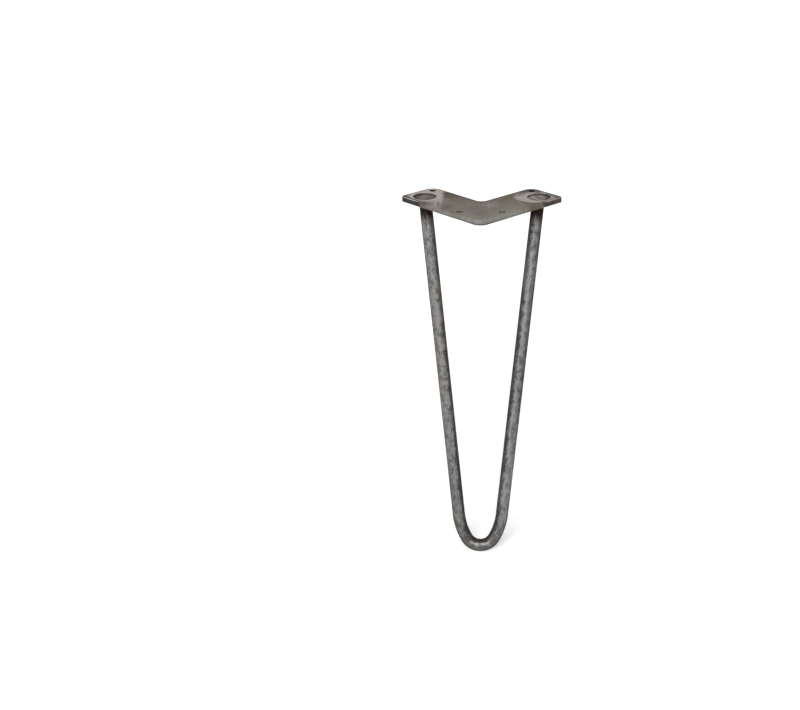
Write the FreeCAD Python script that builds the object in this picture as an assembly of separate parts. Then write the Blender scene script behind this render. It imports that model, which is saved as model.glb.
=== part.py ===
import FreeCAD, Part
import math
import os

# Hairpin table leg, in millimetres, standing as it does under a table.
# Z points up. The origin lies on the plate's top face, where the middle
# lines of its two arms cross. X runs across the leg, and Y runs from the
# outer corner of the plate towards its inner notch.

# Whole leg
OVERALL_HEIGHT = 355.6

# Corner plate: two equal arms at a right angle
PLATE_THICKNESS = 5.2
ARM_LENGTH = 113.6
ARM_WIDTH = 44.0
CORNER_RADIUS = 9.5
NOTCH_RADIUS = 6.5
END_OUTER_RADIUS = 4.3
END_INNER_RADIUS = 10.0
TOP_EDGE_ROUND = 0.8
BOTTOM_EDGE_ROUND = 0.4

# Screw holes: one near the inner corner of each arm's end, and one near
# the outer edge of each arm, some way from the plate's corner
SCREW_HOLE_DIAMETER = 6.6
END_HOLE_FROM_END = 8.8
END_HOLE_FROM_INNER_EDGE = 9.0
CORNER_HOLE_FROM_CORNER = 35.0
CORNER_HOLE_FROM_OUTER_EDGE = 6.4

# Bent rod. Its axes cross the plate's top face near the arms' ends, and
# its foot lies under the plate's corner. A small arc at the foot opens
# into a large one on each side, which ends where the straight part starts.
ROD_DIAMETER = 12.7
ROD_FROM_END = 18.1
ROD_FROM_OUTER_EDGE = 16.3
FOOT_BEHIND_CORNER = 0.9
BEND_RADIUS = 16.1
BEND_SWEEP = 60.0
EASING_RADIUS = 64.0

# Rod ends, welded from above inside round sinks in the plate
ROD_HOLE_CLEARANCE = 0.3
SINK_DIAMETER = 23.0
SINK_DEPTH = 3.0
ROD_END_BELOW_TOP = 1.9
WELD_RIM_BELOW_TOP = 0.5
WELD_CROWN_BELOW_TOP = 0.2

HALF = math.sqrt(0.5)
CORNER_Y = -ARM_WIDTH * HALF
ROD_RADIUS = ROD_DIAMETER / 2
FOOT_Y = CORNER_Y + FOOT_BEHIND_CORNER
FOOT_Z = -OVERALL_HEIGHT + ROD_RADIUS
SWEEP = math.radians(BEND_SWEEP)


def arm_point(along, across, side):
    """Top face point, measured along one arm from the corner and across it."""
    x = side * (along - across) * HALF
    y = CORNER_Y + (along + across) * HALF
    return FreeCAD.Vector(x, y, 0)


def rod_top(side):
    """Where the rod's axis crosses the plate's top face."""
    return arm_point(ARM_LENGTH - ROD_FROM_END, ROD_FROM_OUTER_EDGE, side)


TOP = rod_top(1)
LEAN = math.atan2(TOP.y - FOOT_Y, -FOOT_Z)
RISE = math.hypot(TOP.y - FOOT_Y, -FOOT_Z)


def rod_point(x, rise):
    """Point in the leaning plane of the rod, measured from the foot."""
    y = FOOT_Y + rise * math.sin(LEAN)
    z = FOOT_Z + rise * math.cos(LEAN)
    return FreeCAD.Vector(x, y, z)


def bend_point(turn):
    """Middle line of the right half of the bend, where it has turned so far."""
    small = min(turn, SWEEP)
    x = BEND_RADIUS * math.sin(small)
    rise = BEND_RADIUS * (1 - math.cos(small))
    if turn > SWEEP:
        x += EASING_RADIUS * (math.sin(turn) - math.sin(SWEEP))
        rise += EASING_RADIUS * (math.cos(SWEEP) - math.cos(turn))
    return x, rise


def splay_angle():
    """Slope of the straight part, from the large arc's tangent to the plate."""
    x, rise = bend_point(SWEEP)
    across = TOP.x - (x - EASING_RADIUS * math.sin(SWEEP))
    up = RISE - (rise + EASING_RADIUS * math.cos(SWEEP))
    return math.acos(EASING_RADIUS / math.hypot(across, up)) - math.atan2(up, across)


SPLAY = splay_angle()
FULL_TURN = math.pi / 2 - SPLAY


def straight_point(rise):
    """Middle line of the right straight part, at a rise from the foot."""
    x, start = bend_point(FULL_TURN)
    return x + (rise - start) * math.tan(SPLAY), rise


def upright_edge(solid, place):
    """The upright edge of a plain plate that stands at the given place."""
    for edge in solid.Edges:
        ends = [vertex.Point for vertex in edge.Vertexes]
        if all(math.hypot(end.x - place.x, end.y - place.y) < 0.01 for end in ends):
            return edge
    raise ValueError("no upright edge at this place")


def level_edges(solid, height):
    """All edges that lie at one height."""
    return [
        edge
        for edge in solid.Edges
        if all(abs(vertex.Z - height) < 0.001 for vertex in edge.Vertexes)
    ]


def rod_core(diameter, side):
    """Straight cylinder on the rod's axis, through the whole plate."""
    top = rod_top(side)
    x, rise = straight_point(RISE - ARM_WIDTH)
    axis = top - rod_point(side * x, rise)
    axis.normalize()
    reach = ROD_DIAMETER + PLATE_THICKNESS
    return Part.makeCylinder(diameter / 2, 2 * reach, top - axis * reach, axis)


def make_plate():
    corners = [
        (arm_point(0, 0, 1), CORNER_RADIUS),
        (arm_point(ARM_LENGTH, 0, 1), END_OUTER_RADIUS),
        (arm_point(ARM_LENGTH, ARM_WIDTH, 1), END_INNER_RADIUS),
        (arm_point(ARM_WIDTH, ARM_WIDTH, 1), NOTCH_RADIUS),
        (arm_point(ARM_LENGTH, ARM_WIDTH, -1), END_INNER_RADIUS),
        (arm_point(ARM_LENGTH, 0, -1), END_OUTER_RADIUS),
    ]
    places = [place for place, radius in corners]
    outline = Part.Face(Part.makePolygon(places + places[:1]))
    plate = outline.extrude(FreeCAD.Vector(0, 0, -PLATE_THICKNESS))
    for place, radius in corners:
        plate = plate.makeFillet(radius, [upright_edge(plate, place)])
    plate = plate.makeFillet(TOP_EDGE_ROUND, level_edges(plate, 0))
    plate = plate.makeFillet(BOTTOM_EDGE_ROUND, level_edges(plate, -PLATE_THICKNESS))

    down = FreeCAD.Vector(0, 0, -1)
    end_hole = (ARM_LENGTH - END_HOLE_FROM_END, ARM_WIDTH - END_HOLE_FROM_INNER_EDGE)
    corner_hole = (CORNER_HOLE_FROM_CORNER, CORNER_HOLE_FROM_OUTER_EDGE)
    for side in (-1, 1):
        for along, across in (end_hole, corner_hole):
            drill = Part.makeCylinder(
                SCREW_HOLE_DIAMETER / 2,
                3 * PLATE_THICKNESS,
                arm_point(along, across, side) - down * PLATE_THICKNESS,
                down,
            )
            plate = plate.cut(drill)
        sink = Part.makeCylinder(SINK_DIAMETER / 2, SINK_DEPTH, rod_top(side), down)
        plate = plate.cut(sink)
        plate = plate.cut(rod_core(ROD_DIAMETER + ROD_HOLE_CLEARANCE, side))
    return plate


def make_rod():
    over = RISE + ROD_DIAMETER

    def place(point, side):
        x, rise = point
        return rod_point(side * x, rise)

    def straight(side):
        return Part.makeLine(
            place(bend_point(FULL_TURN), side), place(straight_point(over), side)
        )

    def easing(side):
        return Part.Arc(
            place(bend_point(SWEEP), side),
            place(bend_point((SWEEP + FULL_TURN) / 2), side),
            place(bend_point(FULL_TURN), side),
        ).toShape()

    bend = Part.Arc(
        place(bend_point(SWEEP), -1),
        place(bend_point(0), 1),
        place(bend_point(SWEEP), 1),
    ).toShape()
    path = Part.Wire([straight(-1), easing(-1), bend, easing(1), straight(1)])

    start = place(straight_point(over), -1)
    along = start - place(bend_point(FULL_TURN), -1)
    ring = Part.Wire([Part.makeCircle(ROD_RADIUS, start, along)])
    rod = path.makePipeShell([ring], True, False)

    span = 4 * ARM_LENGTH
    above_ends = Part.makeBox(
        span, span, span, FreeCAD.Vector(-span / 2, -span / 2, -ROD_END_BELOW_TOP)
    )
    return rod.cut(above_ends)


def make_weld(side):
    """Weld pool that fills the sink round and over one rod end."""
    radius = SINK_DIAMETER / 2
    bottom = FreeCAD.Vector(0, 0, -SINK_DEPTH)
    corner = FreeCAD.Vector(radius, 0, -SINK_DEPTH)
    rim = FreeCAD.Vector(radius, 0, -WELD_RIM_BELOW_TOP)
    crown = FreeCAD.Vector(0, 0, -WELD_CROWN_BELOW_TOP)
    bulge = WELD_RIM_BELOW_TOP - WELD_CROWN_BELOW_TOP
    dome = (radius ** 2 + bulge ** 2) / (2 * bulge)
    part_way = math.asin(radius / dome) / 2
    between = FreeCAD.Vector(
        dome * math.sin(part_way), 0, crown.z - dome * (1 - math.cos(part_way))
    )
    profile = Part.Wire(
        [
            Part.makeLine(bottom, corner),
            Part.makeLine(corner, rim),
            Part.Arc(rim, between, crown).toShape(),
            Part.makeLine(crown, bottom),
        ]
    )
    pool = Part.Face(profile).revolve(
        FreeCAD.Vector(0, 0, 0), FreeCAD.Vector(0, 0, 1), 360
    )
    pool.translate(rod_top(side))

    span = 2 * SINK_DIAMETER
    low_corner = rod_top(side) - FreeCAD.Vector(
        span / 2, span / 2, span + ROD_END_BELOW_TOP
    )
    rod_end = rod_core(ROD_DIAMETER, side).common(
        Part.makeBox(span, span, span, low_corner)
    )
    return pool.cut(rod_end)


os.makedirs("parts", exist_ok=True)
nodes = {
    "mounting_plate": make_plate(),
    "bent_rod": make_rod(),
    "left_weld": make_weld(-1),
    "right_weld": make_weld(1),
}
for name, shape in nodes.items():
    solid = shape.Solids[0]
    solid.exportStep("parts/%s.step" % name)
    print(
        "%s: %d solid, valid %s, %.1f mm3"
        % (name, len(shape.Solids), solid.isValid(), solid.Volume)
    )
print("rod top x %.2f y %.2f" % (TOP.x, TOP.y))
print("rod lean %.2f and splay %.2f degrees" % (math.degrees(LEAN), math.degrees(SPLAY)))
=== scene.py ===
import math

import bpy
from mathutils import Matrix, Vector, noise


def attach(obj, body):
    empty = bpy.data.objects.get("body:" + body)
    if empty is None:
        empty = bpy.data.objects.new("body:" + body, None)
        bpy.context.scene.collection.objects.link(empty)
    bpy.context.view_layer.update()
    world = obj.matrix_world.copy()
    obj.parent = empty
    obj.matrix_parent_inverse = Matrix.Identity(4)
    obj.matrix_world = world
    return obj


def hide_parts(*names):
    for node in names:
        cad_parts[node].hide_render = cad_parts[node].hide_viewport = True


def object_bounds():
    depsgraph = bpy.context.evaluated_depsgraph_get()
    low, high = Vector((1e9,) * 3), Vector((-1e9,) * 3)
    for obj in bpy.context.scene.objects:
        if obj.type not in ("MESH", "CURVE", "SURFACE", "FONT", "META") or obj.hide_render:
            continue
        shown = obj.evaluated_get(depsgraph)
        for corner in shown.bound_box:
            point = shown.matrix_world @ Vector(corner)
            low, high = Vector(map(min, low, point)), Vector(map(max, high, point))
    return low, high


bl_info = {
    "name": "Hairpin table leg",
    "version": (1, 0, 0),
    "blender": (4, 5, 0),
    "location": "3D View > Sidebar > Hairpin Leg",
    "description": "Builds the looks of a raw steel hairpin table leg",
    "category": "Object",
}

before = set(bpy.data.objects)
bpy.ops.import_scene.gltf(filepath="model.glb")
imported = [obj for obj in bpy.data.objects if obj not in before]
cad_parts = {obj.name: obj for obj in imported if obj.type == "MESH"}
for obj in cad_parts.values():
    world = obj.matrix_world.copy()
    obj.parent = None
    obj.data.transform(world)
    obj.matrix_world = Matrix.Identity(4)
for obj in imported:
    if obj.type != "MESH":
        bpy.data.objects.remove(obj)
CAD_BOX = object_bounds()
FLOOR_Z = CAD_BOX[0].z

# Sizes repeated from the CAD source, in metres
ARM_LENGTH = 0.1136
ARM_WIDTH = 0.044
FOOT_BEHIND_CORNER = 0.0009
DIAGONAL = math.sqrt(0.5)
CORNER_Y = -ARM_WIDTH * DIAGONAL
# Middles of the right arm's screw holes, and radii just outside the walls of the
# holes and the sinks, in millimetres
END_HOLE = (49.36, 67.74, 0.0)
CORNER_HOLE = (20.22, -1.84, 0.0)
HOLE_WALL = 3.6
SINK_WALL = 11.8
# Middles of the disc ground round the right weld, of the dark edges that both discs
# left, and of the skin burnt under the plate, in millimetres
GROUND_MIDDLE = (52.3, 49.0, 0.0)
RIM_MIDDLE = (52.6, 49.0, 0.0)
BURNT_MIDDLE = (55.5, 46.8, 0.0)
# Direction across the bar's section that faces the inside of the bend
INNER_SIDE = (-0.94, -0.33, 0.0)
# How finely the bar is drawn: points on each arc, sides, and metres between rings
ARC_POINTS = 72
BAR_SIDES = 56
RING_SPACING = 0.0015
# How finely a weld is drawn, and the angle past which its edges stay sharp
POOL_RINGS = 44
POOL_SPOKES = 120
SHARP_ANGLE = math.radians(50)
# Ripples from a weld's middle to its rim, the part of its radius where the undercut
# starts, how deep that gets, and the least weld metal over the sink's floor
RIPPLES = 5.0
UNDERCUT_START = 0.88
UNDERCUT_DEPTH = 0.0004
LEAST_METAL = 0.0004


def linear(code):
    """An sRGB hex colour as linear red, green, blue and alpha."""
    parts = [int(code[i : i + 2], 16) / 255 for i in (1, 3, 5)]
    return tuple(
        p / 12.92 if p <= 0.04045 else ((p + 0.055) / 1.055) ** 2.4 for p in parts
    ) + (1.0,)


def add(tree, kind, inputs=None, out=0, **settings):
    """Adds a node, fills or links its inputs, and gives one output or the node."""
    node = tree.nodes.new(kind)
    for name, value in settings.items():
        setattr(node, name, value)
    for key, value in (inputs or {}).items():
        if isinstance(value, bpy.types.NodeSocket):
            tree.links.new(value, node.inputs[key])
        else:
            node.inputs[key].default_value = value
    return node if out is None else node.outputs[out]


def length(name, text, default):
    """A length, in metres, that a user can change."""
    return bpy.props.FloatProperty(
        name=name, description=text, default=default, unit="LENGTH",
        subtype="DISTANCE", precision=5
    )


def colour(name, text, code):
    """A colour, given by its hex code, that a user can change."""
    return bpy.props.FloatVectorProperty(
        name=name, description=text, default=linear(code), size=4, subtype="COLOR",
        min=0.0, max=1.0
    )


class LegRodSizes(bpy.types.PropertyGroup):
    bar: length("Bar diameter", "Diameter of the round bar", 0.0127)
    bend: length("Bend radius", "Middle line radius of the arc at the foot", 0.0161)
    easing: length("Easing radius", "Radius of the arc beside the small one", 0.064)
    sweep: bpy.props.FloatProperty(
        name="Bend sweep", description="Turn of the small arc on each side of the foot",
        default=math.radians(60), subtype="ANGLE"
    )
    top_x: length("Top across", "Rod axis in the top face, from the middle", 0.056003)
    top_y: length("Top along", "Rod axis in the top face, along Y", 0.047942)
    foot_y: length("Foot", "Foot of the rod along Y", CORNER_Y + FOOT_BEHIND_CORNER)
    end_below: length("Rod end", "Depth of the rod's end below the top face", 0.0033)
    pitting: length("Pitting depth", "Depth of the mill scale's pits", 0.00005)


class LegRodFinish(bpy.types.PropertyGroup):
    steel: colour("Steel", "Bar where its scale has worn thin", "#7e7b78")
    cool: colour("Cool steel", "Cooler lengths of the bar", "#7c7b7b")
    # The scale colour also paints the shade on the runs' inner sides and the right run's
    # outer side
    scale: colour("Mill scale", "Dark patches of scale left on the bar", "#2d2b29")
    # The rubbed colour also paints the highlights on the foot
    bright: colour("Rubbed steel", "Bright rubbed streaks on the bar", "#a5a3a0")
    # The heat colour also paints the plate's shadow on the rods
    heat: colour("Heat scale", "Brown-black scale next to the welds", "#241b17")


class LegPlateFinish(bpy.types.PropertyGroup):
    taupe: colour("Sheet", "Main tone of the rolled sheet", "#70665e")
    olive: colour("Olive tint", "Greener areas of the sheet", "#71695a")
    mauve: colour("Mauve tint", "Redder areas of the sheet", "#6c605c")
    brown: colour("Brown tint", "Darker bands along the inner edges", "#504433")
    rubbed: colour("Rubbed sheet", "Paler bands along the outer edges", "#858478")
    ground: colour("Ground steel", "Ground patches round the welds", "#aba39d")
    edge: colour("Sheared edge", "Plain cut edges of the plate", "#8a888a")
    # The edge scale also paints shade on the low edges, on faces turned backwards and over
    # the front tip
    scale: colour("Edge scale", "Dark scale on the arms' end edges", "#2c2625")
    # The worn colour also paints the highlights along the top corners and the arms' ends
    worn: colour("Worn edge", "Bright worn corners", "#c0b9b2")
    heat: colour("Heat tint", "Mauve heat tint behind the right end hole", "#4d4240")
    # Painted shade: this colour darkens the walls of the holes and the sinks
    bore_shade: colour("Bore", "Oxide in the screw holes and the sinks", "#1d1613")


class LegWeldSizes(bpy.types.PropertyGroup):
    sink: length("Sink diameter", "Diameter of the sink that the weld fills", 0.023)
    depth: length("Sink depth", "Depth of the sink below the top face", 0.003)
    rim: length("Rim", "Depth of the weld's rim below the top face", 0.0005)
    crown: length("Crown", "Depth of the weld's middle below the top face", 0.0002)
    ripple: length("Ripple height", "Height of the weld pool's ripples", 0.0002)
    metal: colour("Weld metal", "Dressed weld metal", "#645d58")
    # The slag colour also paints the shade in the ring along the sink's wall
    slag: colour("Slag", "Dark slag and oxide in the hollows", "#332c28")
    bright: colour("Ground weld", "Bright ground crest of the weld", "#8b847c")
    crest: colour("Ground stroke", "Bright stroke on the right weld", "#a29a8e")
    left_tint: colour("Left tint", "Shade of the left weld, which was burnt", "#d1cbcd")
    right_tint: colour("Right tint", "Shade of the right weld", "#fefef7")


class LegStage(bpy.types.PropertyGroup):
    floor: colour("Floor", "Pale floor", "#f4f4f4")
    key: bpy.props.FloatProperty(
        name="Key light", description="Irradiance of the key light", default=3.0
    )
    world: bpy.props.FloatProperty(
        name="World", description="Strength of the world's even light", default=0.22
    )
    glow: bpy.props.FloatProperty(
        name="Floor glow", description="Lift of the floor to white", default=0.4
    )


def millimetres(tree):
    """Object coordinates in millimetres."""
    place = add(tree, "ShaderNodeTexCoord", out="Object")
    return add(
        tree, "ShaderNodeVectorMath", {0: place, "Scale": 1000.0}, operation="SCALE"
    )


def new_material(name):
    material = bpy.data.materials.new(name)
    material.use_nodes = True
    tree = material.node_tree
    tree.nodes.clear()
    shader = add(tree, "ShaderNodeBsdfPrincipled", out=None)
    add(tree, "ShaderNodeOutputMaterial", {"Surface": shader.outputs[0]}, out=None)
    return material, tree, shader


def layered(tree, tone, *layers):
    """Lays tones over a first one in turn, each where all its shares meet."""
    for over, share, *others in layers:
        for other in others:
            share = add(
                tree, "ShaderNodeMath", {0: share, 1: other}, operation="MULTIPLY"
            )
        tone = add(
            tree, "ShaderNodeMix", {0: share, 6: tone, 7: over}, data_type="RGBA", out=2
        )
    return tone


def spotted(tree, place, tone, core, spots, waver=None):
    """Lays soft round spots over a tone. Each has a middle, reach, share and tone.

    A spot is whole over its core, a part of its reach. A waver makes its edge ragged.
    """
    follow = 0.35
    for middle, far, share, over in spots:
        gap = add(
            tree, "ShaderNodeVectorMath", {0: place, 1: middle}, operation="DISTANCE",
            out="Value"
        )
        if waver is not None:
            gap = add(
                tree, "ShaderNodeMath", {0: waver, 1: follow, 2: gap},
                operation="MULTIPLY_ADD"
            )
        part = add(
            tree, "ShaderNodeMapRange", {0: gap, 1: far, 2: far * core, 4: share}
        )
        tone = layered(tree, tone, (over, part))
    return tone


def plate_material():
    """Raw hot-rolled steel sheet: a satin skin, clouded grey-brown, sheared at its
    edges and ground bright round the welds."""
    finish = bpy.context.scene.leg_plate_finish
    rod = bpy.context.scene.leg_rod_sizes
    material, tree, shader = new_material("hot_rolled_sheet")
    place = millimetres(tree)
    x, y, z = add(tree, "ShaderNodeSeparateXYZ", {0: place}, out=None).outputs
    facing = add(tree, "ShaderNodeNewGeometry", out="Normal")
    normal = add(tree, "ShaderNodeSeparateXYZ", {0: facing}, out=None).outputs

    # Broad tints of the rolled sheet, about 30 mm across
    tint = add(
        tree, "ShaderNodeTexNoise", {"Vector": place, "Scale": 1 / 30, "Detail": 3.0}
    )
    ramp = add(tree, "ShaderNodeValToRGB", {0: tint}, out=None)
    stops = ramp.color_ramp.elements
    stops[0].position, stops[0].color = 0.38, finish.olive
    stops[1].position, stops[1].color = 0.62, finish.mauve
    stops.new(0.5).color = finish.taupe
    # Cloudy blotches about 8 mm across, and grain of about 0.7 mm
    cloud = add(
        tree, "ShaderNodeTexNoise",
        {"Vector": place, "Scale": 1 / 8, "Detail": 6.0, "Roughness": 0.7}
    )
    grain = add(
        tree, "ShaderNodeTexNoise",
        {"Vector": place, "Scale": 1 / 0.7, "Detail": 3.0, "Roughness": 0.6}
    )
    cloudy = add(
        tree, "ShaderNodeMapRange", {0: cloud, 1: 0.3, 2: 0.7, 3: 0.84, 4: 1.14}
    )
    grainy = add(tree, "ShaderNodeMapRange", {0: grain, 1: 0.3, 2: 0.7, 3: 0.9, 4: 1.1})
    # Mottling about 3 mm across
    mottle = add(
        tree, "ShaderNodeTexNoise", {"Vector": place, "Scale": 1 / 3, "Roughness": 0.6}
    )
    mottled = add(
        tree, "ShaderNodeMapRange", {0: mottle, 1: 0.3, 2: 0.7, 3: 0.9, 4: 1.1}
    )
    finer = add(tree, "ShaderNodeMath", {0: mottled, 1: grainy}, operation="MULTIPLY")
    value = add(tree, "ShaderNodeMath", {0: cloudy, 1: finer}, operation="MULTIPLY")

    # Distances on one arm, in millimetres: from the plate's corner along the arm,
    # and across it from the outer edge. Both arms share them.
    reach = add(tree, "ShaderNodeMath", {0: x}, operation="ABSOLUTE")
    back = add(tree, "ShaderNodeMath", {0: y, 1: -CORNER_Y * 1000})
    both = add(tree, "ShaderNodeMath", {0: back, 1: reach})
    along = add(tree, "ShaderNodeMath", {0: both, 1: DIAGONAL}, operation="MULTIPLY")
    apart = add(tree, "ShaderNodeMath", {0: back, 1: reach}, operation="SUBTRACT")
    across = add(tree, "ShaderNodeMath", {0: apart, 1: DIAGONAL}, operation="MULTIPLY")
    from_end = add(
        tree, "ShaderNodeMath", {0: ARM_LENGTH * 1000, 1: along}, operation="SUBTRACT"
    )
    from_edge = add(
        tree, "ShaderNodeMath", {0: from_end, 1: across, 2: 4.0}, operation="SMOOTH_MIN"
    )
    from_inner = add(
        tree, "ShaderNodeMath", {0: ARM_WIDTH * 1000, 1: across}, operation="SUBTRACT"
    )
    from_back = add(
        tree, "ShaderNodeMath", {0: from_end, 1: from_inner}, operation="MINIMUM"
    )

    # Soft tints with their middles, reaches, shares and tones, then brown along the
    # inner edges and paler rubbed metal along the outer ones, broken by the clouds
    toned = spotted(tree, place, ramp.outputs[0], 0.3, (
        ((-20.0, 16.0, 0.0), 20.0, 0.7, finish.olive),
        ((26.0, 17.0, 0.0), 12.0, 0.7, finish.olive),
        ((-6.0, 9.0, 0.0), 10.0, 0.8, finish.mauve),
        ((-11.0, -20.5, -2.0), 8.0, 0.5, finish.mauve),
        ((-28.0, -3.0, -3.0), 5.0, 0.7, finish.brown),
        ((18.0, 34.0, 0.0), 9.0, 0.8, finish.mauve),
        ((27.0, 39.0, 0.0), 13.0, 0.4, finish.brown),
        ((-32.0, 54.0, 0.0), 15.0, 1.0, finish.brown),
        ((8.0, 21.0, 0.0), 10.0, 0.5, finish.rubbed),
        ((17.0, 27.0, 0.0), 8.0, 0.4, finish.rubbed),
        ((52.0, 20.0, -2.0), 13.0, 0.75, finish.brown),
        ((-36.0, 14.0, 0.0), 10.0, 0.6, finish.brown),
        ((-62.0, 25.0, 0.0), 13.0, 1.0, finish.brown),
    ))
    broken = add(
        tree, "ShaderNodeMapRange", {0: cloud, 1: 0.35, 2: 0.65, 3: -7.0, 4: 7.0}
    )
    inner_wavy = add(tree, "ShaderNodeMath", {0: from_inner, 1: broken})
    off_notch = add(
        tree, "ShaderNodeMapRange", {0: reach, 1: 4.0, 2: 30.0, 3: 0.1, 4: 1.0}
    )
    by_inner = add(tree, "ShaderNodeMapRange", {0: inner_wavy, 1: 20.0, 2: 3.0})
    outer_wavy = add(tree, "ShaderNodeMath", {0: across, 1: broken})
    by_outer = add(tree, "ShaderNodeMapRange", {0: outer_wavy, 1: 16.0, 2: 0.0, 4: 0.8})
    past_left = add(tree, "ShaderNodeMapRange", {0: x, 1: -26.0, 2: -12.0})
    short_of_right = add(
        tree, "ShaderNodeMapRange", {0: x, 1: 30.0, 2: 46.0, 3: 1.0, 4: 0.0}
    )
    tinted_sheet = layered(
        tree, toned,
        (finish.brown, by_inner, off_notch),
        (finish.rubbed, by_outer, past_left, short_of_right)
    )
    sheet = add(
        tree, "ShaderNodeVectorMath", {0: tinted_sheet, "Scale": value},
        operation="SCALE"
    )

    # Ground patches: a disc round the right weld, and the whole end of the left arm
    waver = add(tree, "ShaderNodeTexNoise", {"Vector": place, "Scale": 1 / 9})
    waved = add(tree, "ShaderNodeMapRange", {0: waver, 3: -3.5, 4: 3.5})
    right_gap = add(
        tree, "ShaderNodeVectorMath", {0: place, 1: GROUND_MIDDLE},
        operation="DISTANCE", out="Value"
    )
    right_edge = add(tree, "ShaderNodeMath", {0: right_gap, 1: waved})
    right_patch = add(tree, "ShaderNodeMapRange", {0: right_edge, 1: 21.2, 2: 19.4})
    left_edge = add(tree, "ShaderNodeMath", {0: x, 1: waved})
    left_patch = add(tree, "ShaderNodeMapRange", {0: left_edge, 1: -36.5, 2: -40.5})
    front_fade = add(tree, "ShaderNodeMapRange", {0: y, 1: 24.0, 2: 40.0})
    beside_weld = add(
        tree, "ShaderNodeMapRange", {0: left_edge, 1: -52.0, 2: -46.0, 4: 0.3}
    )
    kept = add(
        tree, "ShaderNodeMath", {0: front_fade, 1: beside_weld}, operation="MAXIMUM"
    )
    left_faded = add(
        tree, "ShaderNodeMath", {0: left_patch, 1: kept}, operation="MULTIPLY"
    )
    patch = add(
        tree, "ShaderNodeMath", {0: right_patch, 1: left_faded}, operation="MAXIMUM"
    )
    # Grinding leaves fine arcs, drawn 0.5 mm apart so that they show
    stretched = add(
        tree, "ShaderNodeMapping",
        {"Vector": place, "Rotation": (0.0, 0.0, 0.6), "Scale": (1 / 9, 1 / 0.5, 1.0)}
    )
    scratch = add(
        tree, "ShaderNodeTexNoise",
        {"Vector": stretched, "Scale": 1.0, "Detail": 4.0, "Roughness": 0.65}
    )
    scratched = add(
        tree, "ShaderNodeMapRange", {0: scratch, 1: 0.3, 2: 0.7, 3: 0.8, 4: 1.15}
    )
    ground_side = add(
        tree, "ShaderNodeMapRange", {0: x, 1: -45.0, 2: 45.0, 3: 1.22, 4: 1.03}
    )
    ground_end = add(
        tree, "ShaderNodeMapRange", {0: x, 1: 58.0, 2: 66.0, 3: 1.0, 4: 0.75}
    )
    ground_value = scratched
    for part in (cloudy, ground_side, ground_end):
        ground_value = add(
            tree, "ShaderNodeMath", {0: ground_value, 1: part}, operation="MULTIPLY"
        )
    ground = add(
        tree, "ShaderNodeVectorMath", {0: finish.ground[:3], "Scale": ground_value},
        operation="SCALE"
    )
    top = layered(tree, sheet, (ground, patch, 0.85))

    # Streaks left by handling and grinding, with their middles, half widths, half
    # lengths, shares and tones
    for middle, half_wide, half_long, share, tone in (
        ((-39.0, 34.0, 0.0), 2.2, 16.0, 0.5, finish.ground),
        ((-44.5, 27.0, 0.0), 1.8, 12.0, 0.5, finish.ground),
        ((-42.0, 23.0, 0.0), 1.5, 9.0, 0.32, finish.brown),
        ((7.5, 19.0, 0.0), 1.9, 15.0, 0.26, finish.ground),
    ):
        apart = add(
            tree, "ShaderNodeVectorMath", {0: place, 1: middle}, operation="SUBTRACT"
        )
        shaped = add(
            tree, "ShaderNodeVectorMath",
            {0: apart, 1: (1 / half_wide, 1 / half_long, 0.1)}, operation="MULTIPLY"
        )
        gap = add(
            tree, "ShaderNodeVectorMath", {0: shaped}, operation="LENGTH", out="Value"
        )
        ragged = add(
            tree, "ShaderNodeMath", {0: broken, 1: 0.04, 2: gap},
            operation="MULTIPLY_ADD"
        )
        part = add(tree, "ShaderNodeMapRange", {0: ragged, 1: 1.0, 2: 0.4, 4: share})
        top = layered(tree, top, (tone, part))

    wavy_edge = add(
        tree, "ShaderNodeMath", {0: waved, 1: 0.12, 2: from_edge},
        operation="MULTIPLY_ADD"
    )
    near_end = add(tree, "ShaderNodeMapRange", {0: along, 1: 80.0, 2: 91.0})
    # Round an arm's end, a pale band along the edge painted as a highlight, and inside it
    # a dark line that fades out away from the outer corner
    rubbed_highlight_band = add(
        tree, "ShaderNodeMapRange", {0: wavy_edge, 1: 1.5, 2: 0.9, 4: 0.15}
    )
    on_line = add(
        tree, "ShaderNodeMath", {0: wavy_edge, 1: 2.1, 2: 1.35}, operation="COMPARE"
    )
    near_outside = add(
        tree, "ShaderNodeMapRange", {0: across, 1: 6.0, 2: 16.0, 3: 0.95, 4: 0.0}
    )
    by_side = add(
        tree, "ShaderNodeMapRange", {0: x, 1: -10.0, 2: 10.0, 3: 1.0, 4: 0.15}
    )
    # Darker along the back edges
    back_line = add(tree, "ShaderNodeMapRange", {0: from_back, 1: 3.4, 2: 1.2, 4: 0.8})

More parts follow.
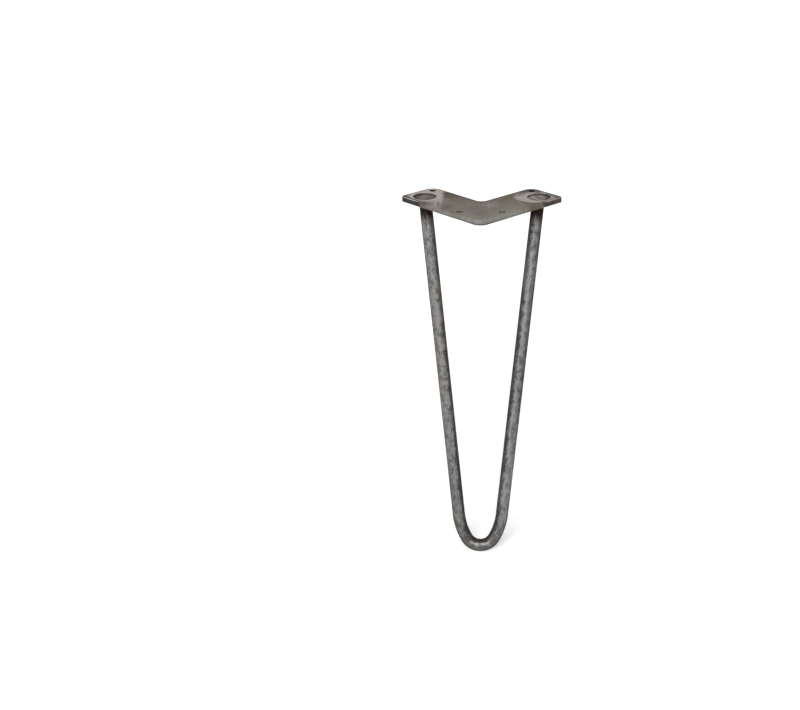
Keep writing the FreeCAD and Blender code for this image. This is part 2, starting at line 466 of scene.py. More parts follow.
    # Each grinding disc left a dark edge in front of its weld, and the right arm's
    # end took a mauve heat tint behind its hole
    folded = add(tree, "ShaderNodeCombineXYZ", {0: reach, 1: y})
    from_disc = add(
        tree, "ShaderNodeVectorMath", {0: folded, 1: RIM_MIDDLE},
        operation="DISTANCE", out="Value"
    )
    wavy_disc = add(
        tree, "ShaderNodeMath", {0: waved, 1: 0.3, 2: from_disc},
        operation="MULTIPLY_ADD"
    )
    on_rim = add(
        tree, "ShaderNodeMath", {0: wavy_disc, 1: 21.0, 2: 1.15}, operation="COMPARE"
    )
    in_front = add(
        tree, "ShaderNodeMapRange", {0: y, 1: 31.0, 2: 40.0, 3: 0.92, 4: 0.0}
    )
    on_right = add(tree, "ShaderNodeMapRange", {0: x, 1: 30.0, 2: 38.0})
    left_tip = add(tree, "ShaderNodeMapRange", {0: x, 1: -49.0, 2: -54.0})
    marked = add(
        tree, "ShaderNodeMath", {0: on_right, 1: left_tip}, operation="MAXIMUM"
    )
    behind = add(tree, "ShaderNodeMapRange", {0: from_back, 1: 14.0, 2: 6.0, 4: 0.95})
    short_of_tip = add(
        tree, "ShaderNodeMapRange", {0: x, 1: 56.0, 2: 62.0, 3: 1.0, 4: 0.0}
    )
    upper_face = layered(
        tree, top,
        (finish.worn, rubbed_highlight_band, near_end),
        (finish.scale, on_line, near_end, by_side, near_outside),
        (finish.scale, back_line),
        (finish.scale, on_rim, in_front, marked),
        (finish.heat, behind, on_right, short_of_tip)
    )

    # The underside is plain sheet, burnt round the rods
    under_gap = add(
        tree, "ShaderNodeVectorMath", {0: folded, 1: BURNT_MIDDLE},
        operation="DISTANCE", out="Value"
    )
    burnt_wavy = add(
        tree, "ShaderNodeMath", {0: waved, 1: 0.8, 2: under_gap},
        operation="MULTIPLY_ADD"
    )
    burnt = add(tree, "ShaderNodeMapRange", {0: burnt_wavy, 1: 17.0, 2: 7.0, 4: 0.85})
    under = layered(tree, sheet, (finish.heat, burnt))
    upper = add(tree, "ShaderNodeMath", {0: z, 1: -2.6}, operation="GREATER_THAN")
    faces = layered(tree, under, (upper_face, upper))

    # Cut edges: the sheet's tints run over them, blotched about 4 mm wide, with dark
    # scale at the arms' ends
    upright = add(
        tree, "ShaderNodeMapping", {"Vector": place, "Scale": (1 / 4, 1 / 4, 1 / 6)}
    )
    streak = add(
        tree, "ShaderNodeTexNoise",
        {"Vector": upright, "Scale": 1.0, "Detail": 3.0, "Roughness": 0.6}
    )
    streaky = add(
        tree, "ShaderNodeMapRange", {0: streak, 1: 0.3, 2: 0.7, 3: 0.82, 4: 1.24}
    )
    left_scale = add(tree, "ShaderNodeMapRange", {0: x, 1: -58.5, 2: -61.5, 4: 0.95})
    right_scale = add(tree, "ShaderNodeMapRange", {0: x, 1: 60.5, 2: 63.0, 4: 0.74})
    scaled = add(
        tree, "ShaderNodeMath", {0: left_scale, 1: right_scale}, operation="MAXIMUM"
    )
    sheet_share = add(
        tree, "ShaderNodeMapRange", {0: x, 1: 30.0, 2: 50.0, 3: 0.55, 4: 0.85}
    )
    edge_tone = layered(tree, finish.edge, (sheet, sheet_share), (finish.scale, scaled))
    edge = add(
        tree, "ShaderNodeVectorMath", {0: edge_tone, "Scale": streaky},
        operation="SCALE"
    )
    # Painted shade: the lower part of the edge is darkened with the scale colour, most of
    # all round the corner
    low = add(tree, "ShaderNodeMapRange", {0: z, 1: -2.9, 2: -4.4, 4: 0.75})
    round_corner = add(
        tree, "ShaderNodeMapRange", {0: reach, 1: 10.0, 2: 24.0, 3: 1.0, 4: 0.35}
    )
    flatness = add(tree, "ShaderNodeMath", {0: normal[2]}, operation="ABSOLUTE")
    side = add(tree, "ShaderNodeMapRange", {0: flatness, 1: 0.55, 2: 0.15})
    shaded_low_edge = layered(tree, edge, (finish.scale, low, round_corner))
    body = layered(tree, faces, (shaded_low_edge, side))
    # Dark smudges and nicks, and painted shade over the rounded front tip, with their
    # middles, reaches and shares
    marks = (
        ((61.5, 31.0, -0.5), 4.5, 0.8),
        ((65.0, 34.0, -4.0), 3.2, 0.9),
        ((-56.0, 26.0, 0.0), 5.0, 0.6),
        ((73.5, 49.5, 0.0), 4.5, 0.7),
        ((-74.5, 48.0, 0.0), 5.0, 0.7),
        ((47.5, 12.5, -2.0), 3.0, 0.6),
        ((43.5, 8.5, -1.5), 2.0, 0.7),
        ((68.5, 39.0, -2.0), 3.5, 0.6),
        ((67.0, 56.5, 0.0), 8.0, 0.55),
        ((-31.0, 57.0, 0.0), 9.0, 0.25),
        ((44.0, 70.0, 0.0), 9.0, 0.3),
        # Painted shade over the rounded front tip, which faces the light
        ((0.0, -31.0, -1.0), 6.0, 0.25),
        ((4.0, -30.0, -3.5), 3.0, 0.5),
    )
    body = spotted(
        tree, place, body, 0.4, [(*mark, finish.scale) for mark in marks], waved
    )

    # Worn top corners, painted as a highlight brightest towards the arms' ends. Painted
    # shade darkens every face that turns backwards, which also draws a dark line along the
    # back corners.
    corner_in = add(tree, "ShaderNodeMapRange", {0: flatness, 1: 0.97, 2: 0.85})
    corner_out = add(tree, "ShaderNodeMapRange", {0: flatness, 1: 0.2, 2: 0.5})
    wear_and_highlight = add(tree, "ShaderNodeMapRange", {0: reach, 1: 50.0, 2: 62.0, 3: 0.1, 4: 0.3})
    wear_broken = add(
        tree, "ShaderNodeMapRange", {0: cloud, 1: 0.35, 2: 0.6, 3: 0.35, 4: 1.0}
    )
    backward_painted_shade = add(tree, "ShaderNodeMapRange", {0: normal[1], 1: 0.1, 2: 0.35, 4: 0.9})
    tone = layered(
        tree, body,
        (finish.worn, corner_in, corner_out, wear_and_highlight, wear_broken),
        (finish.scale, backward_painted_shade)
    )

    # Painted shade in the holes: the walls of the end holes and the sinks are darkened
    # with the bore colour, and the holes near the plate's corner get a dark rim over bare
    # steel below.
    for centre, radius, top_share, low_share in (
        (END_HOLE, HOLE_WALL, 0.97, 0.95),
        (CORNER_HOLE, HOLE_WALL, 0.62, 0.0),
        ((rod.top_x * 1000, rod.top_y * 1000, 0.0), SINK_WALL, 0.5, 0.8),
    ):
        gap = add(
            tree, "ShaderNodeVectorMath", {0: folded, 1: centre}, operation="DISTANCE",
            out="Value"
        )
        inside = add(tree, "ShaderNodeMath", {0: gap, 1: radius}, operation="LESS_THAN")
        by_depth = add(
            tree, "ShaderNodeMapRange",
            {0: z, 1: -1.0, 2: -1.4, 3: top_share, 4: low_share}
        )
        tone = layered(tree, tone, (finish.bore_shade, inside, by_depth, side))

    tree.links.new(tone, shader.inputs["Base Color"])
    shader.inputs["Metallic"].default_value = 0.35
    shader.inputs["Specular Tint"].default_value = (0.3, 0.3, 0.3, 1.0)
    rough = add(
        tree, "ShaderNodeMapRange", {0: cloud, 1: 0.3, 2: 0.7, 3: 0.55, 4: 0.42}
    )
    tree.links.new(rough, shader.inputs["Roughness"])
    relief = add(tree, "ShaderNodeMath", {0: grain, 1: scratch})
    bump = add(
        tree, "ShaderNodeBump", {"Height": relief, "Distance": 0.00004, "Strength": 0.6}
    )
    tree.links.new(bump, shader.inputs["Normal"])
    return material


def rod_material():
    """Raw hot-rolled round bar: mill scale worn to grey steel, in streaks along it."""
    finish = bpy.context.scene.leg_rod_finish
    material, tree, shader = new_material("hot_rolled_bar")
    bar = add(tree, "ShaderNodeAttribute", attribute_name="bar", out="Vector")
    place = millimetres(tree)
    x, _, z = add(tree, "ShaderNodeSeparateXYZ", {0: place}, out=None).outputs

    # Blotches of scale, about 4 mm wide and 7 mm long, with ragged edges
    stretched = add(
        tree, "ShaderNodeMapping", {"Vector": bar, "Scale": (1 / 4, 1 / 4, 1 / 7)}
    )
    blotch = add(
        tree, "ShaderNodeTexNoise",
        {"Vector": stretched, "Scale": 1.0, "Detail": 8.0, "Roughness": 0.8}
    )
    right_run = add(tree, "ShaderNodeMapRange", {0: x, 1: 10.0, 2: 20.0})
    # Broad cool and warm tints, about 40 mm long, cooler on the right run
    broad = add(tree, "ShaderNodeTexNoise", {"Vector": bar, "Scale": 1 / 40})
    cooled = add(
        tree, "ShaderNodeMath", {0: right_run, 1: -0.1, 2: broad},
        operation="MULTIPLY_ADD"
    )
    warmth = add(tree, "ShaderNodeMapRange", {0: cooled, 1: 0.4, 2: 0.6})
    # The rolled skin is cleaner towards the plate, and scaliest round the foot
    higher = add(tree, "ShaderNodeMapRange", {0: z, 1: -260.0, 2: -150.0})
    clean_top = add(
        tree, "ShaderNodeMath", {0: higher, 1: -0.02, 2: blotch},
        operation="MULTIPLY_ADD"
    )
    foot = add(tree, "ShaderNodeMapRange", {0: z, 1: -322.0, 2: -346.0, 4: 0.09})
    scaly = add(tree, "ShaderNodeMath", {0: clean_top, 1: foot})
    # Rolling streaks, 1 mm wide and 40 mm long
    drawn = add(tree, "ShaderNodeMapping", {"Vector": bar, "Scale": (1.0, 1.0, 1 / 40)})
    streak = add(
        tree, "ShaderNodeTexNoise",
        {"Vector": drawn, "Scale": 1.0, "Detail": 3.0, "Roughness": 0.6}
    )
    grain = add(
        tree, "ShaderNodeTexNoise",
        {"Vector": bar, "Scale": 1 / 0.8, "Detail": 4.0, "Roughness": 0.65}
    )

    scale_share = add(
        tree, "ShaderNodeMapRange", {0: scaly, 1: 0.46, 2: 0.56, 4: 0.66}
    )
    bright_share = add(tree, "ShaderNodeMapRange", {0: streak, 1: 0.55, 2: 0.7, 4: 0.4})
    rubbed = layered(
        tree, finish.cool,
        (finish.steel, warmth),
        (finish.scale, scale_share),
        (finish.bright, bright_share)
    )
    grainy = add(
        tree, "ShaderNodeMapRange", {0: grain, 1: 0.3, 2: 0.7, 3: 0.78, 4: 1.22}
    )
    # The bend's skin is duller, from 55 mm further up on the left run
    lower = add(
        tree, "ShaderNodeMath", {0: right_run, 1: 55.0, 2: z}, operation="MULTIPLY_ADD"
    )
    duller = add(
        tree, "ShaderNodeMapRange", {0: lower, 1: -240.0, 2: -295.0, 3: 1.05, 4: 0.87}
    )
    skin = add(tree, "ShaderNodeMath", {0: grainy, 1: duller}, operation="MULTIPLY")
    mottled = add(
        tree, "ShaderNodeVectorMath", {0: rubbed, "Scale": skin}, operation="SCALE"
    )
    # Painted shade: the scale colour darkens the inner side of each run, and more of the
    # right run, broken by the blotches
    inner = add(
        tree, "ShaderNodeVectorMath", {0: bar, 1: INNER_SIDE}, operation="DOT_PRODUCT",
        out="Value"
    )
    inner_more = add(
        tree, "ShaderNodeMath", {0: right_run, 1: 0.9, 2: inner},
        operation="MULTIPLY_ADD"
    )
    inner_wavy = add(
        tree, "ShaderNodeMath", {0: blotch, 1: 12.0, 2: inner_more},
        operation="MULTIPLY_ADD"
    )
    inner_painted_shade = add(
        tree, "ShaderNodeMapRange", {0: inner_wavy, 1: 7.5, 2: 10.2, 4: 0.72}
    )
    # Painted shade: the scale colour darkens the outer side of the right run, above the
    # bend
    outward = add(tree, "ShaderNodeMath", {0: inner, 1: -1.0}, operation="MULTIPLY")
    outer = add(
        tree, "ShaderNodeMath", {0: blotch, 1: 8.0, 2: outward},
        operation="MULTIPLY_ADD"
    )
    outer_painted_shade = add(tree, "ShaderNodeMapRange", {0: outer, 1: 5.6, 2: 9.4, 4: 0.65})
    above_bend = add(tree, "ShaderNodeMapRange", {0: z, 1: -270.0, 2: -200.0})
    sided = layered(
        tree, mottled,
        (finish.scale, inner_painted_shade),
        (finish.scale, outer_painted_shade, right_run, above_bend)
    )
    # Painted highlights as small bright specks on the front of the foot, and long paler
    # places on the right run
    sided = spotted(tree, place, sided, 0.5, (
        ((-9.5, -36.0, -343.5), 2.6, 0.32, finish.bright),
        ((-3.5, -37.0, -347.0), 3.0, 0.32, finish.bright),
        ((8.5, -36.5, -345.5), 2.6, 0.32, finish.bright),
        ((48.0, 32.0, -72.0), 22.0, 0.12, finish.bright),
        ((25.0, -17.0, -290.0), 20.0, 0.1, finish.bright),
    ))
    # Heat tint from welding and the plate's painted shadow: black under the plate,
    # thinning out 25 mm below it
    heat_and_shadow_wander = add(
        tree, "ShaderNodeMath", {0: blotch, 1: 22.0, 2: z}, operation="MULTIPLY_ADD"
    )
    heat_and_shadow_share = add(
        tree, "ShaderNodeMapRange", {0: heat_and_shadow_wander, 1: -16.0, 2: -4.0, 4: 0.98}
    )
    heat_and_shadow_tone = layered(tree, sided, (finish.heat, heat_and_shadow_share))

    tree.links.new(heat_and_shadow_tone, shader.inputs["Base Color"])
    shader.inputs["Metallic"].default_value = 0.7
    shader.inputs["Specular Tint"].default_value = (0.15, 0.15, 0.15, 1.0)
    rough = add(
        tree, "ShaderNodeMapRange", {0: blotch, 1: 0.4, 2: 0.65, 3: 0.36, 4: 0.55}
    )
    tree.links.new(rough, shader.inputs["Roughness"])
    relief = add(tree, "ShaderNodeMath", {0: grain, 1: blotch})
    bump = add(
        tree, "ShaderNodeBump", {"Height": relief, "Distance": 0.00008, "Strength": 0.7}
    )
    tree.links.new(bump, shader.inputs["Normal"])
    return material


def weld_material():
    """Fused weld metal, dressed with a grinder: mottled grey, with painted shade in a ring
    along the sink's wall.
    """
    sizes = bpy.context.scene.leg_weld_sizes
    rod = bpy.context.scene.leg_rod_sizes
    material, tree, shader = new_material("dressed_weld_metal")
    place = millimetres(tree)
    x, y, z = add(tree, "ShaderNodeSeparateXYZ", {0: place}, out=None).outputs
    mottle = add(
        tree, "ShaderNodeTexNoise",
        {"Vector": place, "Scale": 1 / 2.8, "Detail": 5.0, "Roughness": 0.65}
    )
    grain = add(
        tree, "ShaderNodeTexNoise", {"Vector": place, "Scale": 1 / 0.5, "Detail": 3.0}
    )
    high = add(
        tree, "ShaderNodeMapRange",
        {0: z, 1: -sizes.rim * 1000 - 0.1, 2: -sizes.crown * 1000}
    )
    ramp = add(tree, "ShaderNodeValToRGB", {0: high}, out=None)
    stops = ramp.color_ramp.elements
    stops[0].color = sizes.slag
    stops[1].color = sizes.bright
    stops.new(0.35).color = sizes.metal
    mottled = add(
        tree, "ShaderNodeMapRange", {0: mottle, 1: 0.3, 2: 0.7, 3: 0.45, 4: 1.45}
    )
    # Broader clouds, about 5 mm across, where the pool cooled unevenly
    cloud = add(
        tree, "ShaderNodeTexNoise", {"Vector": place, "Scale": 1 / 5, "Roughness": 0.6}
    )
    cloudy = add(
        tree, "ShaderNodeMapRange", {0: cloud, 1: 0.35, 2: 0.65, 3: 0.66, 4: 1.34}
    )
    uneven_tone = add(
        tree, "ShaderNodeMath", {0: mottled, 1: cloudy}, operation="MULTIPLY"
    )
    tone = add(
        tree, "ShaderNodeVectorMath", {0: ramp.outputs[0], "Scale": uneven_tone},
        operation="SCALE"
    )
    # Painted shade: a ring of the slag colour along the sink's wall, widest behind and
    # outside
    reach = add(tree, "ShaderNodeMath", {0: x}, operation="ABSOLUTE")
    folded = add(tree, "ShaderNodeCombineXYZ", {0: reach, 1: y})
    from_middle = add(
        tree, "ShaderNodeVectorMath",
        {0: folded, 1: (rod.top_x * 1000, rod.top_y * 1000, 0.0)}, operation="SUBTRACT"
    )
    gap = add(
        tree, "ShaderNodeVectorMath", {0: from_middle}, operation="LENGTH", out="Value"
    )
    lopsided = add(
        tree, "ShaderNodeVectorMath", {0: from_middle, 1: (1.0, 1.0, 0.0)},
        operation="DOT_PRODUCT", out="Value"
    )
    uneven = add(
        tree, "ShaderNodeMath", {0: lopsided, 1: 0.24, 2: gap}, operation="MULTIPLY_ADD"
    )
    ragged = add(
        tree, "ShaderNodeMath", {0: mottle, 1: 3.0, 2: uneven}, operation="MULTIPLY_ADD"
    )
    ring = add(tree, "ShaderNodeMapRange", {0: ragged, 1: 9.0, 2: 11.6, 4: 0.88})
    ring_shaded = layered(tree, tone, (sizes.slag, ring))
    # The left weld was burnt darker. The right one was ground in one stroke, which
    # left a bright band and a groove: place across, half width, place along, half
    # length and tone of each.
    stroke = add(
        tree, "ShaderNodeMapping",
        {"Vector": place, "Rotation": (0.0, 0.0, math.pi / 4)}
    )
    u, v, _ = add(tree, "ShaderNodeSeparateXYZ", {0: stroke}, out=None).outputs
    on_right = add(tree, "ShaderNodeMath", {0: x, 1: 0.0}, operation="GREATER_THAN")
    wander = add(
        tree, "ShaderNodeTexNoise",
        {"Vector": place, "Scale": 1 / 6, "Detail": 3.0, "Roughness": 0.6}
    )
    wandering = add(
        tree, "ShaderNodeMath", {0: wander, 1: 12.0, 2: v}, operation="MULTIPLY_ADD"
    )
    side_tint = layered(tree, sizes.left_tint, (sizes.right_tint, on_right))
    ground = add(
        tree, "ShaderNodeVectorMath", {0: ring_shaded, 1: side_tint}, operation="MULTIPLY"
    )
    for across, half_wide, along, half_long, over in (
        (75.4, 1.6, 4.4, 6.0, sizes.crest),
        (79.2, 0.8, 4.8, 6.0, sizes.slag),
    ):
        aside = add(
            tree, "ShaderNodeMath", {0: wandering, 1: across}, operation="SUBTRACT"
        )
        apart = add(tree, "ShaderNodeMath", {0: aside}, operation="ABSOLUTE")
        beside = add(
            tree, "ShaderNodeMapRange",
            {0: apart, 1: half_wide + 0.5, 2: half_wide - 0.4}
        )
        ahead = add(tree, "ShaderNodeMath", {0: u, 1: along}, operation="SUBTRACT")
        far = add(tree, "ShaderNodeMath", {0: ahead}, operation="ABSOLUTE")
        within = add(
            tree, "ShaderNodeMapRange", {0: far, 1: half_long + 0.6, 2: half_long - 2.5}
        )
        ground = layered(tree, ground, (over, beside, within, on_right, 0.8))
    tree.links.new(ground, shader.inputs["Base Color"])
    shader.inputs["Metallic"].default_value = 0.5
    shader.inputs["Specular Tint"].default_value = (0.3, 0.3, 0.3, 1.0)
    rough = add(
        tree, "ShaderNodeMapRange", {0: mottle, 1: 0.3, 2: 0.7, 3: 0.35, 4: 0.55}
    )
    tree.links.new(rough, shader.inputs["Roughness"])
    bump = add(
        tree, "ShaderNodeBump", {"Height": grain, "Distance": 0.00005, "Strength": 0.6}
    )
    tree.links.new(bump, shader.inputs["Normal"])
    return material


def rod_tree(material, inputs):
    """Geometry Nodes: corners of the route to a round bar with rolled-in pits."""
    tree = bpy.data.node_groups.new("bend_round_bar", "GeometryNodeTree")
    face = tree.interface
    face.new_socket("Geometry", in_out="INPUT", socket_type="NodeSocketGeometry")
    sockets = {}
    for name, value in inputs.items():
        socket = face.new_socket(name, in_out="INPUT", socket_type="NodeSocketFloat")
        socket.default_value = value
        sockets[name] = socket.identifier
    face.new_socket("Geometry", in_out="OUTPUT", socket_type="NodeSocketGeometry")
    given = add(tree, "NodeGroupInput", out=None).outputs

    # The middle corner of the route is the foot, and takes the small radius
    index = add(tree, "GeometryNodeInputIndex")
    at_foot = add(
        tree, "FunctionNodeCompare", {2: index, 3: 2}, data_type="INT",
        operation="EQUAL"
    )
    radius = add(
        tree, "GeometryNodeSwitch",
        {0: at_foot, 1: given["Easing Radius"], 2: given["Bend Radius"]},
        input_type="FLOAT"
    )
    bent = add(
        tree, "GeometryNodeFilletCurve",
        {"Curve": given["Geometry"], "Count": ARC_POINTS, "Radius": radius}, mode="POLY"
    )
    even = add(
        tree, "GeometryNodeResampleCurve",
        {"Curve": bent, "Length": given["Ring Spacing"]}, mode="LENGTH"
    )
    travelled = add(tree, "GeometryNodeSplineParameter", out="Length")
    marked = add(
        tree, "GeometryNodeStoreNamedAttribute",
        {"Geometry": even, "Name": "travelled", "Value": travelled}
    )

    half = add(
        tree, "ShaderNodeMath", {0: given["Bar Diameter"], 1: 0.5}, operation="MULTIPLY"
    )
    ring = add(
        tree, "GeometryNodeCurvePrimitiveCircle",
        {"Resolution": BAR_SIDES, "Radius": half}
    )
    where = add(tree, "GeometryNodeInputPosition")
    section = add(
        tree, "GeometryNodeStoreNamedAttribute",
        {"Geometry": ring, "Name": "section", "Value": where}, data_type="FLOAT_VECTOR"
    )
    tube = add(
        tree, "GeometryNodeCurveToMesh",
        {"Curve": marked, "Profile Curve": section, "Fill Caps": True}
    )

    # Each point's place on the bar before it was bent, in millimetres
    ring_place = add(
        tree, "GeometryNodeInputNamedAttribute", {"Name": "section"},
        data_type="FLOAT_VECTOR"
    )
    run_place = add(tree, "GeometryNodeInputNamedAttribute", {"Name": "travelled"})
    along = add(tree, "ShaderNodeCombineXYZ", {2: run_place})
    straight = add(tree, "ShaderNodeVectorMath", {0: ring_place, 1: along})
    in_mm = add(
        tree, "ShaderNodeVectorMath", {0: straight, "Scale": 1000.0}, operation="SCALE"
    )
    kept = add(
        tree, "GeometryNodeStoreNamedAttribute",
        {"Geometry": tube, "Name": "bar", "Value": in_mm}, data_type="FLOAT_VECTOR"
    )

    # Pits and scale flakes of about 4 mm, always inwards from the bar's size
    unbent = add(
        tree, "GeometryNodeInputNamedAttribute", {"Name": "bar"},
        data_type="FLOAT_VECTOR"
    )
    rolled = add(
        tree, "ShaderNodeVectorMath", {0: unbent, 1: (1.0, 1.0, 0.4)},
        operation="MULTIPLY"
    )
    pits = add(
        tree, "ShaderNodeTexNoise",
        {"Vector": rolled, "Scale": 1 / 4, "Detail": 4.0, "Roughness": 0.6}
    )
    depth = add(
        tree, "ShaderNodeMath", {0: pits, 1: given["Pitting Depth"]},
        operation="MULTIPLY"
    )
    inward = add(tree, "ShaderNodeMath", {0: depth, 1: -1.0}, operation="MULTIPLY")
    facing = add(tree, "GeometryNodeInputNormal")
    shift = add(
        tree, "ShaderNodeVectorMath", {0: facing, "Scale": inward}, operation="SCALE"
    )
    pitted = add(tree, "GeometryNodeSetPosition", {"Geometry": kept, "Offset": shift})
    smooth = add(tree, "GeometryNodeSetShadeSmooth", {"Geometry": pitted})
    real = add(tree, "GeometryNodeRealizeInstances", {"Geometry": smooth})
    done = add(
        tree, "GeometryNodeSetMaterial", {"Geometry": real, "Material": material}
    )
    add(tree, "NodeGroupOutput", {0: done}, out=None)
    return tree, sockets


def rod_corners(sizes):
    """The route's corners, in the row frame: two ends, two easings and the foot."""
    bar_radius = sizes.bar / 2
    foot_z = FLOOR_Z + bar_radius
    run_y, run_z = sizes.top_y - sizes.foot_y, -foot_z
    rise = math.hypot(run_y, run_z)
    sweep = sizes.sweep
    small_x = sizes.bend * math.sin(sweep)
    small_rise = sizes.bend * (1 - math.cos(sweep))
    across = sizes.top_x - (small_x - sizes.easing * math.sin(sweep))
    up = rise - (small_rise + sizes.easing * math.cos(sweep))
    splay = math.acos(sizes.easing / math.hypot(across, up)) - math.atan2(up, across)
    reach = sizes.easing * math.tan((math.pi / 2 - splay - sweep) / 2)
    easing_x = small_x + reach * math.cos(sweep)
    easing_rise = small_rise + reach * math.sin(sweep)
    foot_corner = sizes.bend * (1 - 1 / math.cos(sweep))
    end_rise = rise * (1 - sizes.end_below / run_z)
    end_x = sizes.top_x - (rise - end_rise) * math.tan(splay)
    route = [
        (-end_x, end_rise),
        (-easing_x, easing_rise),
        (0.0, foot_corner),
        (easing_x, easing_rise),
        (end_x, end_rise),
    ]
    return [
        Vector((x, sizes.foot_y + t * run_y / rise, foot_z + t * run_z / rise))
        for x, t in route
    ]


class LEG_OT_rod(bpy.types.Operator):
    """Bends the round bar along its route and stands it in for the CAD rod"""

    bl_idname = "leg.rod"
    bl_label = "Bent rod"

    def execute(self, context):
        sizes = context.scene.leg_rod_sizes
        material = rod_material()
        inputs = {
            "Bar Diameter": sizes.bar,
            "Bend Radius": sizes.bend,
            "Easing Radius": sizes.easing,
            "Ring Spacing": RING_SPACING,
            "Pitting Depth": sizes.pitting,
        }
        tree, sockets = rod_tree(material, inputs)
        route = bpy.data.curves.new("rod_route", "CURVE")
        route.dimensions = "3D"
        spline = route.splines.new("POLY")
        corners = rod_corners(sizes)
        spline.points.add(len(corners) - 1)
        for point, corner in zip(spline.points, corners):
            point.co = (*corner, 1.0)
        guide = bpy.data.objects.new("rod_guide", route)
        context.scene.collection.objects.link(guide)
        modifier = guide.modifiers.new("bar", "NODES")
        modifier.node_group = tree
        for name, value in inputs.items():
            modifier[sockets[name]] = value
        graph = context.evaluated_depsgraph_get()
        mesh = bpy.data.meshes.new_from_object(
            guide.evaluated_get(graph), preserve_all_data_layers=True, depsgraph=graph
        )
        bpy.data.objects.remove(guide)
        rod = bpy.data.objects.new("steel_rod", mesh)
        context.scene.collection.objects.link(rod)
        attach(rod, "root")
        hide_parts("bent_rod")
        return {"FINISHED"}


class LEG_OT_plate(bpy.types.Operator):
    """Gives the CAD plate its rolled, sheared and ground steel"""

    bl_idname = "leg.plate"
    bl_label = "Corner plate"

    def execute(self, context):
        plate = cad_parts["mounting_plate"]
        material = plate_material()
        for slot in plate.material_slots:
            slot.material = material
        return {"FINISHED"}


def weld_height(x, y, side, sizes):
    """Depth of the weld's surface below the top face, at a place in the sink."""
    radius = sizes.sink / 2
    r = math.hypot(x, y) / radius
    crown = -sizes.rim + (sizes.rim - sizes.crown) * (1 - r * r)
    turn = math.atan2(y, x)
    # The ripples wander over about 4 mm, and the lumps are about 3 mm across
    seed = Vector((7.0 * side, 3.0, 0.0))
    spot = Vector((x, y, 0.0)) * 1000
    wander = noise.noise(spot * 0.25 + seed)
    ripple = math.sin((r * RIPPLES + turn * side / math.tau + wander * 0.8) * math.tau)
    lumps = noise.fractal(spot * 0.35 + seed, 1.0, 2.0, 4)
    height = crown + sizes.ripple * (0.6 * ripple * (0.3 + r) + 0.9 * lumps)
    undercut = max(0.0, (r - UNDERCUT_START) / (1 - UNDERCUT_START))
    height -= UNDERCUT_DEPTH * undercut * undercut
    return max(min(height, -sizes.crown), -sizes.depth + LEAST_METAL)


def weld_mesh(name, centre, side, sizes):
    """Closed pool: a rippled top on rings, a plain wall and a flat bottom."""
    rings, spokes = POOL_RINGS, POOL_SPOKES
    radius = sizes.sink / 2
    points = [Vector((0, 0, weld_height(0, 0, side, sizes)))]
    for ring in range(1, rings + 1):
        r = radius * ring / rings
        for spoke in range(spokes):
            a = math.tau * spoke / spokes
            x, y = r * math.cos(a), r * math.sin(a)
            points.append(Vector((x, y, weld_height(x, y, side, sizes))))
    first_low = len(points)
    for spoke in range(spokes):
        a = math.tau * spoke / spokes
        x, y = radius * math.cos(a), radius * math.sin(a)
        points.append(Vector((x, y, -sizes.depth)))
    faces = []
    for spoke in range(spokes):
        after = (spoke + 1) % spokes
        faces.append((0, 1 + spoke, 1 + after))
        for ring in range(rings - 1):
            inner, outer = 1 + ring * spokes, 1 + (ring + 1) * spokes
            faces.append((inner + spoke, outer + spoke, outer + after, inner + after))
        rim = 1 + (rings - 1) * spokes
        faces.append((rim + spoke, first_low + spoke, first_low + after, rim + after))
    faces.append(tuple(first_low + spoke for spoke in reversed(range(spokes))))
    mesh = bpy.data.meshes.new(name)
    mesh.from_pydata([point + centre for point in points], [], faces)
    mesh.shade_smooth()
    mesh.set_sharp_from_angle(angle=SHARP_ANGLE)
    return mesh


class LEG_OT_welds(bpy.types.Operator):
    """Fills both sinks with rippled, dressed weld metal"""

    bl_idname = "leg.welds"
    bl_label = "Welds"

    def execute(self, context):
        sizes = context.scene.leg_weld_sizes
        rod = context.scene.leg_rod_sizes
        material = weld_material()
        for side, node in ((-1, "left_weld"), (1, "right_weld")):
            centre = Vector((side * rod.top_x, rod.top_y, 0.0))
            mesh = weld_mesh(node + "_pool", centre, side, sizes)
            mesh.materials.append(material)
            pool = bpy.data.objects.new(node + "_pool", mesh)
            context.scene.collection.objects.link(pool)
            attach(pool, "root")
            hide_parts(node)
        return {"FINISHED"}


def direction(azimuth, elevation):
    """Unit vector that points out at an azimuth and an elevation, in degrees."""
    a, e = math.radians(azimuth), math.radians(elevation)
    return Vector((math.sin(a) * math.cos(e), -math.cos(a) * math.cos(e), math.sin(e)))


def soft_sun(name, azimuth, elevation, spread, strength):
    """A wide, even light from one side, as from a large softbox far away."""
    lamp = bpy.data.lights.new(name, "SUN")
    lamp.angle = math.radians(spread)
    lamp.energy = strength
    light = bpy.data.objects.new(name, lamp)
    towards = direction(azimuth, elevation)
    light.location = towards * 2
    light.rotation_euler = towards.to_track_quat("Z", "Y").to_euler()
    bpy.context.scene.collection.objects.link(light)


def show_ray(tree):
    """1 for rays that should see the plain background: camera, glossy and clear."""
    ray = add(tree, "ShaderNodeLightPath", out=None).outputs
    seen = ray["Is Camera Ray"]
    for kind in ("Is Glossy Ray", "Is Transmission Ray"):
        seen = add(tree, "ShaderNodeMath", {0: seen, 1: ray[kind]}, operation="MAXIMUM")
    return seen


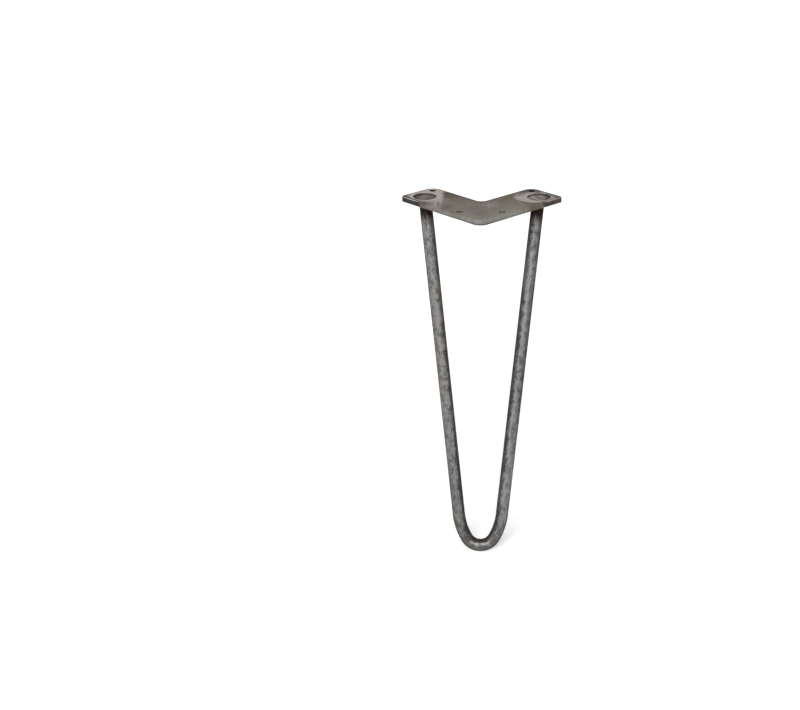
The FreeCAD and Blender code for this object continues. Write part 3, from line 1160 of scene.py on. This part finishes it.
class LEG_OT_stage(bpy.types.Operator):
    """Sets the pale floor, the soft light, the white surround and the camera"""

    bl_idname = "leg.stage"
    bl_label = "Stage"

    def execute(self, context):
        stage = context.scene.leg_stage
        half_side = 4.0
        mesh = bpy.data.meshes.new("floor")
        corners = [
            (half_side * x, half_side * y, FLOOR_Z)
            for x, y in ((-1, -1), (1, -1), (1, 1), (-1, 1))
        ]
        mesh.from_pydata(corners, [], [(0, 1, 2, 3)])
        material, tree, shader = new_material("pale_floor")
        shader.inputs["Base Color"].default_value = stage.floor
        shader.inputs["Roughness"].default_value = 0.9
        shader.inputs["Specular IOR Level"].default_value = 0.1
        glow = add(
            tree, "ShaderNodeMath", {0: show_ray(tree), 1: stage.glow},
            operation="MULTIPLY"
        )
        shader.inputs["Emission Color"].default_value = (1, 1, 1, 1)
        tree.links.new(glow, shader.inputs["Emission Strength"])
        mesh.materials.append(material)
        floor = bpy.data.objects.new("floor", mesh)
        context.scene.collection.objects.link(floor)

        soft_sun("key", azimuth=-10, elevation=40, spread=40, strength=stage.key)

        world = bpy.data.worlds.new("surround")
        world.use_nodes = True
        tree = world.node_tree
        tree.nodes.clear()
        strength = add(
            tree, "ShaderNodeMapRange", {0: show_ray(tree), 3: stage.world, 4: 1.0}
        )
        surround = add(
            tree, "ShaderNodeBackground", {"Color": (1, 1, 1, 1), "Strength": strength},
            out=None
        )
        add(tree, "ShaderNodeOutputWorld", {"Surface": surround.outputs[0]}, out=None)
        context.scene.world = world

        make_camera(context)
        context.scene.view_settings.view_transform = "Standard"
        return {"FINISHED"}


def make_camera(context):
    """Camera at the photograph's viewing angle, distance and framing."""
    azimuth, elevation, distance = 1.071, 24.209, 1.45666
    target = Vector((0.0, 0.004241, FLOOR_Z / 2))
    width, height = 800, 710
    focal_px = 1447.5
    centre_px = (480.89, 379.87)
    back = direction(azimuth, elevation)
    right = direction(azimuth + 90, 0)
    up = back.cross(right)
    data = bpy.data.cameras.new("camera")
    data.sensor_fit = "HORIZONTAL"
    data.sensor_width = 36.0
    data.lens = focal_px * data.sensor_width / width
    data.shift_x = (width / 2 - centre_px[0]) / width
    data.shift_y = (centre_px[1] - height / 2) / width
    data.clip_start = 0.01
    data.clip_end = 50.0
    camera = bpy.data.objects.new("camera", data)
    turned = Matrix((right, up, back)).transposed().to_4x4()
    camera.matrix_world = Matrix.Translation(target + back * distance) @ turned
    context.scene.collection.objects.link(camera)
    context.scene.camera = camera


class LEG_PT_panel(bpy.types.Panel):
    bl_label = "Hairpin Leg"
    bl_idname = "LEG_PT_panel"
    bl_space_type = "VIEW_3D"
    bl_region_type = "UI"
    bl_category = "Hairpin Leg"

    def draw(self, context):
        groups = (
            ("leg_rod_sizes", "leg.rod"),
            ("leg_rod_finish", None),
            ("leg_plate_finish", "leg.plate"),
            ("leg_weld_sizes", "leg.welds"),
            ("leg_stage", "leg.stage"),
        )
        for name, operator in groups:
            box = self.layout.box()
            group = getattr(context.scene, name)
            for prop in group.bl_rna.properties:
                if prop.identifier not in ("rna_type", "name"):
                    box.prop(group, prop.identifier)
            if operator:
                box.operator(operator)


GROUPS = {
    "leg_rod_sizes": LegRodSizes,
    "leg_rod_finish": LegRodFinish,
    "leg_plate_finish": LegPlateFinish,
    "leg_weld_sizes": LegWeldSizes,
    "leg_stage": LegStage,
}
CLASSES = (
    *GROUPS.values(), LEG_OT_plate, LEG_OT_rod, LEG_OT_welds, LEG_OT_stage, LEG_PT_panel
)


def register():
    for kind in CLASSES:
        bpy.utils.register_class(kind)
    for name, group in GROUPS.items():
        setattr(bpy.types.Scene, name, bpy.props.PointerProperty(type=group))


def unregister():
    for name in GROUPS:
        delattr(bpy.types.Scene, name)
    for kind in reversed(CLASSES):
        bpy.utils.unregister_class(kind)


def main():
    register()
    bpy.ops.leg.plate()
    bpy.ops.leg.rod()
    bpy.ops.leg.welds()
    bpy.ops.leg.stage()


if __name__ == "__main__":
    main()
